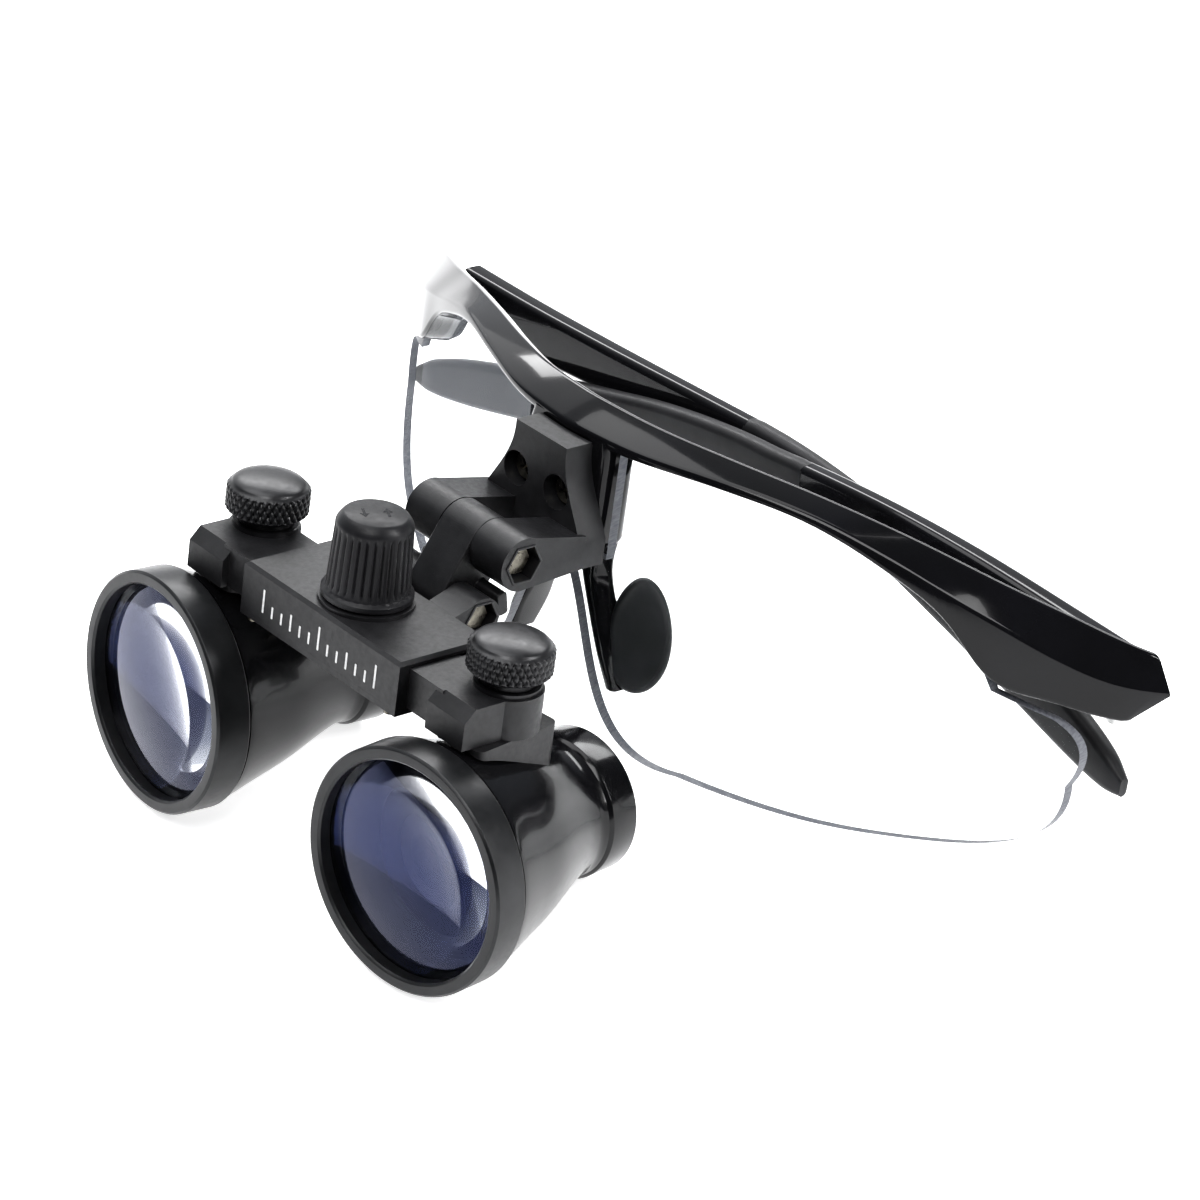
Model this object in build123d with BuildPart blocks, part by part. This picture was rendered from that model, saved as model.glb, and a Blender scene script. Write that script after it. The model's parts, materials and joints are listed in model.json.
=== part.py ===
from build123d import *
import os
from math import atan, cos, pi, radians, sin, sqrt, tan

# Flip-up dental loupes on a sports frame, at rest on a table with the temples folded.
# Everything is modelled in the axes of the cross beam: x to the wearer's left, y from the
# front towards the face, z up along the thumbscrews, and the origin in the middle of the
# beam's top front edge. put() then leans the whole object back until its barrels lie flat.
# All sizes are in millimetres. Side is +1 for the wearer's left and -1 for the right.

os.makedirs("parts", exist_ok=True)

SIDES = {"left": 1, "right": -1}

# ---- Driving dimensions ----

# Barrels, measured along their own axis from the thumbscrew: t is forwards
barrel_z = -22.06          # height of the barrels' axes
barrel_x = 24.0            # half the distance between the barrels as they stand
swivel_y = 9.76            # the thumbscrews' place along the beam's depth
outward = {1: 7.05, -1: 4.4}   # how far each barrel is turned outwards, in degrees
bezel_radius = 15.75
bezel_front = 15.0
bezel_back = 10.1
bezel_opening = 14.0
eyepiece_radius = 9.4
eyepiece_end = -17.0

# Cross beam
beam_half = 15.45
beam_depth = 14.3
beam_height = 7.2
beam_wall = 1.6
top_wall = 0.9
cover_thickness = 0.8

# Rack and pinion that spread the barrels
knob_y = 6.98
tooth_module = 0.5
pinion_teeth = 12
pinion_radius = tooth_module * pinion_teeth / 2
tooth_pitch = pi * tooth_module
backlash = 0.12
rack_clear = 0.06

# Pivots between the bracket, the link and the beam
flip_y, flip_z, flip_radius, flip_half = 23.6, 5.27, 3.62, 9.46
tilt_y, tilt_z, tilt_radius, tilt_half = 18.7, -1.7, 2.88, 8.4
link_half = 3.2
ear_gap = 0.06
washer_thickness = 0.3
pivot_screw_radius = 1.0
pivot_bore_radius = 1.06

# Spectacle frame
hinge_x, hinge_y = 66.0, 73.0
endcap_back = 75.25
endcap_ridge = 2.5
lens_thickness = 1.4
lens_set_back = 3.1        # the lens stands this far in front of the brow's top crease
temple_y = 75.2            # middle of a folded temple at its root
temple_slant = tan(radians(1.7))
temple_bend = {1: 0.6, -1: 4.0}    # how far each tip curls in towards the head
temple_rise = {1: 1.3, -1: -0.5}   # how far each arm arches, as the two lie folded
tip_lift = {1: 1.2, -1: 0.0}       # how much less the left tip droops

# How the object stands: the barrels lie on the backs of their bezels and their eyepieces
lean = 13.13
floor_drop = 36.74
depth_middle = 32.0


def put(piece, node):
    """Stand a finished sub-part as the object lies on a table, label it and write it."""
    standing = Location((0, -depth_middle, floor_drop), (-lean, 0, 0))
    placed = piece.part.moved(standing)
    placed.label = node
    export_step(placed, f"parts/{node}.step")


def sag_at_half(radius, sag):
    """How far a round face of a given sag has fallen halfway out to its rim."""
    curve = (radius ** 2 + sag ** 2) / (2 * abs(sag))
    fallen = curve - sqrt(curve ** 2 - radius ** 2 / 4)
    return fallen if sag > 0 else -fallen


# ---- Frame front: brow bar, endcaps, bridge and nose arms ----

# Each station along the brow: x, y of the top crease, heading in degrees, then the section's
# height at the top crease, the depth and height of the middle crease, and of the lower edge
brow_stations = [
    (0.0, 41.2, 0, 20.8, -5.0, 18.2, -4.6, 16.6),
    (10.5, 42.5, 13, 20.5, -4.6, 18.2, -4.4, 17.0),
    (21.0, 46.2, 23, 19.7, -3.8, 18.1, -4.0, 17.0),
    (31.5, 51.2, 27, 18.4, -3.4, 17.0, -3.8, 15.8),
    (42.0, 56.7, 28, 16.4, -3.4, 13.8, -3.8, 11.8),
    (48.0, 60.0, 29, 14.9, -3.5, 11.5, -3.8, 8.2),
    (53.5, 63.0, 32, 13.5, -3.6, 9.6, -3.8, 1.9),
    (60.0, 67.2, 38, 11.7, -3.6, 6.9, -3.4, 0.9),
    (65.6, 71.2, 46, 9.9, -3.1, 5.0, -2.6, -0.1),
    (70.0, 75.4, 58, 8.4, -1.85, 4.2, -1.4, -0.4),
    (71.3, 77.8, 64, 8.0, -1.7, 4.0, -1.2, -0.5),
]
brow_back = 1.8
lens_front = [(x, y - lens_set_back) for x, y, *rest in brow_stations if x < 66]

with BuildPart() as lens_left:
    with BuildSketch(Plane.XY.offset(-26)):
        with BuildLine():
            front_line = Spline([(x, y - lens_thickness / 2) for x, y in lens_front])
            back_line = Spline([(x, y + lens_thickness / 2) for x, y in lens_front])
            Line(front_line @ 0, back_line @ 0)
            Line(front_line @ 1, back_line @ 1)
        make_face()
    extrude(amount=48)
    with BuildSketch(Plane.XZ.offset(-30)):
        with BuildLine():
            Polyline((2.1, 0.0), (1.3, 2.2), (8.6, 2.2), (8.6, 18.0))
            Spline((8.6, 18.0), (21.0, 18.2), (31.5, 17.0), (42.0, 13.2), (48.0, 9.9), (54.6, 2.6))
            Polyline((54.6, 2.6), (55.6, 0.6), (62.2, -1.3))
            Spline((62.2, -1.3), (64.9, -3.6), (64.7, -10.0))
            Spline((64.7, -10.0), (62.6, -17.2), (52.8, -21.6), (36.6, -24.1), (21.8, -23.5))
            Spline((21.8, -23.5), (12.2, -20.5), (7.6, -12.6), (2.1, 0.0))
        make_face()
    extrude(amount=-60, mode=Mode.INTERSECT)

with BuildPart() as lens_right:
    mirror(lens_left.part, about=Plane.YZ)


def brow_plane(side, x, y, heading):
    """The plane across the brow at a station, with its x towards the face and its y up."""
    turn = radians(side * heading)
    return Plane(origin=(side * x, y, 0), x_dir=(-sin(turn), cos(turn), 0), z_dir=(cos(turn), sin(turn), 0))


with BuildPart() as frame_front:
    stations = [(-1, *s) for s in reversed(brow_stations[1:])] + [(1, *s) for s in brow_stations]
    for side, x, y, heading, top, mid_depth, mid, low_depth, low in stations:
        with BuildSketch(brow_plane(side, x, y, heading)):
            with BuildLine():
                Polyline(
                    (0, top),
                    (mid_depth, mid),
                    (low_depth, low),
                    (0.2, low - 0.2),
                    (brow_back, low + 0.6),
                    (brow_back, top - 1.3),
                    close=True,
                )
            make_face()
    loft()
    # The endcaps end in a face that the open temples meet, drawn in above and below its ridge
    with BuildSketch(Plane.YZ.offset(-100)):
        with BuildLine():
            Polyline(
                (endcap_back - 0.9, endcap_ridge + 8),
                (endcap_back, endcap_ridge),
                (endcap_back - 6.4, endcap_ridge - 4),
                (endcap_back + 20, endcap_ridge - 4),
                (endcap_back + 20, endcap_ridge + 8),
                close=True,
            )
        make_face()
    extrude(amount=200, mode=Mode.SUBTRACT)
    # Bridge that the bracket is screwed to
    with BuildSketch(Plane.XZ.offset(-36.9)):
        with Locations((0, 10.2)):
            RectangleRounded(14.8, 15.0, 2.0)
    extrude(amount=-5.4)
    for side in SIDES.values():
        # Nose arm: a blade behind the lens that spreads towards the pad
        for x, y, z, width, depth in [
            (3.6, 41.4, 4.0, 5.0, 3.6),
            (3.9, 41.5, -1.5, 2.6, 3.8),
            (5.7, 41.5, -6.0, 2.3, 3.8),
            (8.3, 41.6, -11.6, 2.2, 3.8),
            (9.9, 41.9, -16.2, 1.8, 3.0),
        ]:
            with BuildSketch(Plane.XY.offset(z)):
                with Locations((side * x, y)):
                    RectangleRounded(width, depth, 0.7)
        loft()
        # Room for the temple's root to turn, and two ears for its hinge screw
        with BuildSketch(Plane.XY.offset(-3)):
            with Locations((side * hinge_x, hinge_y)):
                Circle(2.9)
        extrude(amount=10.15, mode=Mode.SUBTRACT)
        for low, thick in [(-0.9, 2.5), (5.15, 2.0)]:
            with BuildSketch(Plane.XY.offset(low)):
                with Locations((side * hinge_x, hinge_y)):
                    Circle(2.1)
                with Locations((side * (hinge_x + 1.9), hinge_y)):
                    Rectangle(3.8, 4.2)
            extrude(amount=thick)
        with BuildSketch(Plane.XY.offset(1.6)):
            with Locations((side * hinge_x, hinge_y)):
                Circle(3.45)
        extrude(amount=3.55, mode=Mode.SUBTRACT)
        with BuildSketch(Plane.XY.offset(-4)):
            with Locations((side * hinge_x, hinge_y)):
                Circle(0.8)
        extrude(amount=10.6, mode=Mode.SUBTRACT)
    # Pilot holes for the bracket's screws
    with Locations(Plane.XZ.offset(-36.9)):
        with Locations((3.85, 10.8), (-3.85, 10.8)):
            Hole(0.9, depth=4.0)
    add(lens_left.part, mode=Mode.SUBTRACT)
    add(lens_right.part, mode=Mode.SUBTRACT)

put(frame_front, "frame_front")
put(lens_left, "lens_left")
put(lens_right, "lens_right")

# ---- Nose pads ----

for name, side in SIDES.items():
    pad_face = Plane(
        origin=(side * 9.9, 44.7, -9.4),
        x_dir=(side * 0.6, 0.8, 0),
        z_dir=(side * 0.75, -0.5625, 0.35),
    )
    with BuildPart() as nose_pad:
        with BuildSketch(pad_face):
            Ellipse(4.2, 7.4)
        extrude(amount=1.1, both=True)
        fillet(nose_pad.edges().filter_by(GeomType.ELLIPSE), 0.9)
        with BuildSketch(pad_face):
            SlotOverall(7.0, 1.1, rotation=90)
        extrude(amount=3, both=True, mode=Mode.SUBTRACT)
        add(frame_front.part, mode=Mode.SUBTRACT)
    put(nose_pad, f"nose_pad_{name}")

# ---- Temples: a glossy arm, a rubber sock and the hinge screw ----

# Each station along a temple: distance from the hinge, its middle height, height, thickness
arm_stations = [
    (2.5, 3.1, 7.4, 3.8),
    (15.0, 3.2, 7.2, 3.6),
    (30.0, 3.65, 6.7, 3.3),
    (45.0, 3.95, 6.4, 3.0),
    (60.0, 4.0, 6.2, 2.8),
]
sock_stations = [
    (60.0, 4.0, 6.5, 3.0),
    (72.0, 3.2, 6.8, 3.0),
    (85.0, 1.1, 7.1, 3.0),
    (97.0, -1.8, 7.2, 3.1),
    (110.0, -5.0, 7.2, 3.2),
    (122.0, -8.1, 6.8, 3.0),
    (130.0, -10.3, 5.0, 2.6),
    (133.0, -11.2, 2.6, 1.4),
]
core_stations = [(59.0, 4.0, 4.0, 1.4), (85.0, 1.1, 4.0, 1.4), (110.0, -5.0, 3.6, 1.4), (122.0, -8.1, 3.0, 1.2)]


def temple_middle(side, along):
    """Depth of a folded temple's middle: slanted so the two cross, then bent to the head."""
    bend = temple_bend[side] * (max(along - 78, 0) / 55) ** 2
    return temple_y - side * temple_slant * along - bend


def temple_height(side, along, middle):
    """Middle height of a temple: the arm arches a little, and the tips droop unequally."""
    arch = temple_rise[side] * sin(pi * min(max(along - 2.5, 0) / 62, 1))
    return middle + arch + tip_lift[side] * (max(along - 62, 0) / 71)


def temple_section(side, along, middle, height, thickness):
    """Rounded section across a temple at one station."""
    with BuildSketch(Plane.YZ.offset(side * (hinge_x - along))) as section:
        with Locations((temple_middle(side, along), temple_height(side, along, middle))):
            RectangleRounded(thickness, height, thickness * 0.42)
    return section.sketch


for name, side in SIDES.items():
    with BuildPart() as core:
        loft([temple_section(side, *station) for station in core_stations])

    with BuildPart() as ear_sock:
        loft([temple_section(side, *station) for station in sock_stations])
        add(core.part, mode=Mode.SUBTRACT)
    put(ear_sock, f"ear_sock_{name}")

    with BuildPart() as temple_arm:
        loft([temple_section(side, *station) for station in arm_stations])
        # Long groove in the outer face
        groove_floor = Plane(
            origin=(side * (hinge_x - 31), temple_middle(side, 31) + 1.15, temple_height(side, 31, 3.7)),
            x_dir=(-side, -side * temple_slant, 0),
            z_dir=(-temple_slant, 1, 0),
        )
        with BuildSketch(groove_floor):
            SlotOverall(38, 1.6)
        extrude(amount=3, mode=Mode.SUBTRACT)
        add(core.part)
        # Knuckle between the endcap's ears
        with BuildSketch(Plane.XY.offset(1.75)):
            with Locations((side * hinge_x, hinge_y)):
                Circle(2.1)
            with Locations((side * (hinge_x - 1.4), hinge_y + 1.05)):
                Rectangle(2.8, 2.1)
        extrude(amount=3.25)
        with BuildSketch(Plane.XY):
            with Locations((side * hinge_x, hinge_y)):
                Circle(0.86)
        extrude(amount=8, mode=Mode.SUBTRACT)
    put(temple_arm, f"temple_arm_{name}")

    with BuildPart() as temple_screw:
        with BuildSketch(Plane.XY.offset(-1.7)):
            with Locations((side * hinge_x, hinge_y)):
                Circle(1.6)
        extrude(amount=0.8)
        with BuildSketch(Plane.XY.offset(-1.7)):
            with Locations((side * hinge_x, hinge_y)):
                Circle(0.8)
        extrude(amount=8.2)
        with BuildSketch(Plane.XY.offset(-1.7)):
            with Locations((side * hinge_x, hinge_y)):
                Rectangle(2.4, 0.4)
        extrude(amount=0.4, mode=Mode.SUBTRACT)
    put(temple_screw, f"temple_screw_{name}")

# ---- Bracket on the bridge ----

plate_front, plate_back = 32.6, 36.9
screw_places = [(3.85, 10.8), (-3.85, 10.8)]
recess_radius, recess_depth = 2.3, 2.6

with BuildPart() as mount_bracket:
    with BuildSketch(Plane.XZ.offset(-plate_front)):
        with BuildLine():
            right_flank = Spline((9.46, 5.8), (7.8, 8.8), (6.0, 12.0), (4.9, 17.2))
            left_flank = Spline((-9.46, 5.8), (-7.8, 8.8), (-6.0, 12.0), (-4.9, 17.2))
            Line(right_flank @ 1, left_flank @ 1)
            Polyline(left_flank @ 0, (-9.46, 2.4), (9.46, 2.4), right_flank @ 0)
        make_face()
    extrude(amount=plate_front - plate_back)
    # Two ears, each a barrel with a web back to the plate
    for side in SIDES.values():
        inner = link_half + ear_gap
        with BuildSketch(Plane.YZ.offset(side * (inner + flip_half) / 2)):
            with BuildLine():
                Polyline(
                    (flip_y, flip_z + flip_radius),
                    (plate_front + 1, 6.9),
                    (plate_front + 1, 2.4),
                    (flip_y, flip_z - flip_radius),
                    close=True,
                )
            make_face()
            with Locations((flip_y, flip_z)):
                Circle(flip_radius)
        extrude(amount=(flip_half - inner) / 2, both=True)
    with BuildSketch(Plane.YZ.offset(-flip_half)):
        with Locations((flip_y, flip_z)):
            Circle(pivot_screw_radius)
    extrude(amount=2 * flip_half, mode=Mode.SUBTRACT)
    # Pocket for the nut on the left, for the screw's head on the right
    with BuildSketch(Plane.YZ.offset(flip_half)):
        with Locations((flip_y, flip_z)):
            RegularPolygon(2.55, 6)
    extrude(amount=-2.6, mode=Mode.SUBTRACT)
    with BuildSketch(Plane.YZ.offset(-flip_half)):
        with Locations((flip_y, flip_z)):
            Circle(2.1)
    extrude(amount=1.7, mode=Mode.SUBTRACT)
    with Locations(Plane.XZ.offset(-plate_front)):
        with Locations(*screw_places):
            CounterBoreHole(1.1, recess_radius, recess_depth, depth=6)
    add(frame_front.part, mode=Mode.SUBTRACT)
put(mount_bracket, "mount_bracket")

with BuildPart() as bracket_screws:
    with BuildSketch(Plane.XZ.offset(-(plate_front + recess_depth - 1.0))):
        with Locations(*screw_places):
            Circle(1.75)
    extrude(amount=-1.0)
    with BuildSketch(Plane.XZ.offset(-(plate_front + recess_depth - 0.1))):
        with Locations(*screw_places):
            Circle(0.9)
    extrude(amount=-5.5)
    with BuildSketch(Plane.XZ.offset(-(plate_front + recess_depth - 1.0))):
        with Locations(*screw_places):
            Rectangle(2.2, 0.45, rotation=35)
            Rectangle(2.2, 0.45, rotation=125)
    extrude(amount=-0.6, mode=Mode.SUBTRACT)
put(bracket_screws, "bracket_screws")


def pivot_screw(y, z, half):
    """Screw across a pivot, with its head in the right ear and its end in the left one."""
    with BuildPart() as screw:
        with BuildSketch(Plane.YZ.offset(-half + 0.7)):
            with Locations((y, z)):
                Circle(1.8)
        extrude(amount=1.0)
        with BuildSketch(Plane.YZ.offset(-half + 0.7)):
            with Locations((y, z)):
                Circle(pivot_screw_radius)
        extrude(amount=2 * half - 1.9)
        with BuildSketch(Plane.YZ.offset(-half + 0.7)):
            with Locations((y, z)):
                Rectangle(2.4, 0.45)
                Rectangle(0.45, 2.4)
        extrude(amount=0.6, mode=Mode.SUBTRACT)
    return screw


def pivot_nut(y, z, half, across, depth):
    with BuildPart() as nut:
        with BuildSketch(Plane.YZ.offset(half - depth)):
            with Locations((y, z)):
                RegularPolygon(across, 6)
                Circle(pivot_screw_radius, mode=Mode.SUBTRACT)
        extrude(amount=1.2)
    return nut


def pivot_washers(y, z, inner):
    """Two friction washers, one each side of the link."""
    with BuildPart() as washers:
        for side in SIDES.values():
            with BuildSketch(Plane.YZ.offset(side * inner)):
                with Locations((y, z)):
                    Circle(2.0)
                    Circle(pivot_bore_radius, mode=Mode.SUBTRACT)
            extrude(amount=-side * washer_thickness)
    return washers


put(pivot_screw(flip_y, flip_z, flip_half), "flip_screw")
put(pivot_nut(flip_y, flip_z, flip_half, 2.1, 2.6), "flip_nut")
put(pivot_washers(flip_y, flip_z, link_half), "flip_washers")

# ---- Link between the two pivots ----

with BuildPart() as flip_link:
    with BuildSketch(Plane.YZ.offset(-link_half)):
        with Locations((flip_y, flip_z)):
            Circle(flip_radius)
        with Locations((tilt_y, tilt_z)):
            Circle(tilt_radius)
        make_hull()
    extrude(amount=2 * link_half)
    # Cross rib behind the beam's ears
    with BuildSketch(Plane.YZ.offset(-7.5)):
        with Locations((22.75, -0.9)):
            RectangleRounded(1.6, 3.2, 0.5, rotation=12)
    extrude(amount=15)
    for y, z in [(flip_y, flip_z), (tilt_y, tilt_z)]:
        with BuildSketch(Plane.YZ.offset(-link_half)):
            with Locations((y, z)):
                Circle(pivot_bore_radius)
        extrude(amount=2 * link_half, mode=Mode.SUBTRACT)
        for side in SIDES.values():
            with BuildSketch(Plane.YZ.offset(side * link_half)):
                with Locations((y, z)):
                    Circle(2.05)
            extrude(amount=-side * washer_thickness, mode=Mode.SUBTRACT)
put(flip_link, "flip_link")

# ---- Cross beam ----

cavity_front, cavity_back = beam_wall, beam_depth - beam_wall - 0.3
cover_screw_places = [(x, y) for x in (-13.6, 13.6) for y in (0.8, 13.35)]

with BuildPart() as beam_housing:
    with BuildSketch(Plane.XY.offset(-beam_height + cover_thickness)):
        with Locations((0, beam_depth / 2)):
            Rectangle(2 * beam_half, beam_depth)
    extrude(amount=beam_height - cover_thickness)
    chamfer(beam_housing.edges().group_by(Axis.Z)[-1], 0.45)
    # Channel for the racks, open at both ends and below
    with BuildSketch(Plane.XY.offset(-beam_height)):
        with Locations((0, (cavity_front + cavity_back) / 2)):
            Rectangle(2 * beam_half + 2, cavity_back - cavity_front)
    extrude(amount=beam_height - top_wall, mode=Mode.SUBTRACT)
    # Boss and hole for the knob's shaft
    with BuildSketch(Plane.XY):
        with Locations((0, knob_y)):
            Circle(6.1)
    extrude(amount=0.5)
    with BuildSketch(Plane.XY.offset(-1.5)):
        with Locations((0, knob_y)):
            Circle(1.85)
    extrude(amount=3, mode=Mode.SUBTRACT)
    # Rear ears of the tilt pivot
    for side in SIDES.values():
        inner = link_half + ear_gap
        with BuildSketch(Plane.YZ.offset(side * (inner + tilt_half) / 2)):
            with BuildLine():
                Polyline(
                    (tilt_y, tilt_z + tilt_radius),
                    (beam_depth - 0.8, -0.6),
                    (beam_depth - 0.8, tilt_z - tilt_radius),
                    (tilt_y, tilt_z - tilt_radius),
                    close=True,
                )
            make_face()
            with Locations((tilt_y, tilt_z)):
                Circle(tilt_radius)
        extrude(amount=(tilt_half - inner) / 2, both=True)
    with BuildSketch(Plane.YZ.offset(-tilt_half)):
        with Locations((tilt_y, tilt_z)):
            Circle(pivot_screw_radius)
    extrude(amount=2 * tilt_half, mode=Mode.SUBTRACT)
    with BuildSketch(Plane.YZ.offset(tilt_half)):
        with Locations((tilt_y, tilt_z)):
            RegularPolygon(2.35, 6)
    extrude(amount=-2.4, mode=Mode.SUBTRACT)
    with BuildSketch(Plane.YZ.offset(-tilt_half)):
        with Locations((tilt_y, tilt_z)):
            Circle(2.0)
    extrude(amount=1.7, mode=Mode.SUBTRACT)
    with BuildSketch(Plane.XY.offset(-beam_height)):
        with Locations(*cover_screw_places):
            Circle(0.4)
    extrude(amount=4, mode=Mode.SUBTRACT)
put(beam_housing, "beam_housing")

with BuildPart() as beam_cover:
    with BuildSketch(Plane.XY.offset(-beam_height)):
        with Locations((0, beam_depth / 2)):
            Rectangle(2 * beam_half, beam_depth)
        with Locations(*cover_screw_places):
            Circle(0.4, mode=Mode.SUBTRACT)
    extrude(amount=cover_thickness)
put(beam_cover, "beam_cover")

with BuildPart() as cover_screws:
    with BuildSketch(Plane.XY.offset(-beam_height - 0.35)):
        with Locations(*cover_screw_places):
            Circle(0.75)
    extrude(amount=0.35)
    with BuildSketch(Plane.XY.offset(-beam_height)):
        with Locations(*cover_screw_places):
            Circle(0.4)
    extrude(amount=3.6)
put(cover_screws, "cover_screws")

put(pivot_screw(tilt_y, tilt_z, tilt_half), "tilt_screw")
put(pivot_nut(tilt_y, tilt_z, tilt_half, 1.95, 2.4), "tilt_nut")
put(pivot_washers(tilt_y, tilt_z, link_half), "tilt_washers")

# ---- Knob, pinion and racks ----

knob_top, knob_base = 11.86, 0.75
knob_top_radius, knob_base_radius = 4.9, 5.3
flutes = 30
pinion_low, pinion_high = -5.7, -1.2

with BuildPart() as pd_knob:
    with BuildSketch(Plane.XZ.offset(-knob_y)):
        with BuildLine():
            Polyline(
                (0, knob_base),
                (knob_base_radius + 0.5, knob_base),
                (knob_base_radius + 0.5, knob_base + 0.9),
                (knob_base_radius, knob_base + 1.3),
                (knob_top_radius, knob_top - 1.0),
                (knob_top_radius - 0.9, knob_top),
                (0, knob_top),
                close=True,
            )
        make_face()
    revolve(axis=Axis((0, knob_y, 0), (0, 0, 1)))
    with BuildSketch(Plane.XY.offset(knob_base + 1.5)):
        with Locations((0, knob_y)):
            with PolarLocations(knob_base_radius + 0.15, flutes):
                Circle(0.38)
    extrude(amount=9.0, mode=Mode.SUBTRACT)
    # Two opposite arrows sunk into the top
    with BuildSketch(Plane.XY.offset(knob_top)):
        for side in SIDES.values():
            with Locations((side * 1.5, knob_y)):
                Rectangle(0.35, 3.2)
            with Locations((side * 1.5, knob_y + side * 1.3)):
                Triangle(a=1.5, b=1.1, c=1.1, rotation=0 if side > 0 else 180)
    extrude(amount=-0.25, mode=Mode.SUBTRACT)
    with BuildSketch(Plane.XY.offset(pinion_high)):
        with Locations((0, knob_y)):
            Circle(1.8)
    extrude(amount=knob_base - pinion_high)
    with BuildSketch(Plane.XY.offset(pinion_low)):
        with Locations((0, knob_y)):
            Circle(1.2)
    extrude(amount=pinion_high - pinion_low)
    with BuildSketch(Plane.XY.offset(pinion_low)):
        with Locations((0, knob_y)):
            Circle(0.5)
    extrude(amount=4.0, mode=Mode.SUBTRACT)
put(pd_knob, "pd_knob")

with BuildPart() as knob_washer:
    with BuildSketch(Plane.XY.offset(0.5)):
        with Locations((0, knob_y)):
            Circle(4.0)
            Circle(1.85, mode=Mode.SUBTRACT)
    extrude(amount=knob_base - 0.5)
put(knob_washer, "knob_washer")

base_circle = pinion_radius * cos(radians(20))
tip_circle = pinion_radius + 0.4
root_circle = pinion_radius - 0.6


def flank_angle(radius):
    """Half angle of a tooth at a radius, from the involute of a 20 degree gear."""
    def involute(r):
        pressure = sqrt(max((r / base_circle) ** 2 - 1, 0))
        return pressure - atan(pressure)
    at_pitch = pi / (2 * pinion_teeth) - backlash / (2 * pinion_radius)
    return at_pitch + involute(pinion_radius) - involute(radius)


with BuildPart() as pinion:
    with BuildSketch(Plane.XY.offset(pinion_low)):
        with Locations((0, knob_y)):
            Circle(root_circle)
        for tooth in range(pinion_teeth):
            middle = pi / 2 + 2 * pi * tooth / pinion_teeth
            radii = [root_circle - 0.2, base_circle, pinion_radius, tip_circle]
            one_flank = [(r, middle - flank_angle(max(r, base_circle))) for r in radii]
            other_flank = [(r, middle + flank_angle(max(r, base_circle))) for r in reversed(radii)]
            with BuildLine():
                Polyline([(r * cos(a), knob_y + r * sin(a)) for r, a in one_flank + other_flank], close=True)
            make_face()
        with Locations((0, knob_y)):
            Circle(1.2, mode=Mode.SUBTRACT)
    extrude(amount=pinion_high - pinion_low)
put(pinion, "pinion")

with BuildPart() as knob_screw:
    with BuildSketch(Plane.XY.offset(pinion_low)):
        with Locations((0, knob_y)):
            Circle(1.9)
    extrude(amount=-0.55)
    with BuildSketch(Plane.XY.offset(pinion_low)):
        with Locations((0, knob_y)):
            Circle(0.5)
    extrude(amount=3.0)
put(knob_screw, "knob_screw")

# ---- Slide arms: rack, arm and end block in one piece ----

arm_top, arm_low = -top_wall - rack_clear, -beam_height + cover_thickness + rack_clear
block_low = -6.3
rack_end = 13.0
pitch_line = knob_y - pinion_radius
block_outer = 27.4
clamp_radius = 1.6
dome_radius, dome_rise = 4.9, 1.15
shank_end = -8.8


def rack_outline():
    """Top view of the left arm inside the beam: the rack, then the wider arm beside it."""
    front = cavity_front + rack_clear
    root = pitch_line - 0.62
    tip = pitch_line + 0.35
    slope = tan(radians(20))
    half_at_root = tooth_pitch / 4 - backlash / 2 + (pitch_line - root) * slope
    half_at_tip = tooth_pitch / 4 - backlash / 2 - (tip - pitch_line) * slope
    teeth = []
    for count in range(-8, 3):
        middle = (count + 0.5) * tooth_pitch
        teeth += [
            (middle - half_at_root, root),
            (middle - half_at_tip, tip),
            (middle + half_at_tip, tip),
            (middle + half_at_root, root),
        ]
    wide = 9.4
    return [(-rack_end, front), (-rack_end, root), *teeth, (5.4, root), (5.4, wide), (beam_half + 0.3, wide),
            (beam_half + 0.3, front)]


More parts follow.
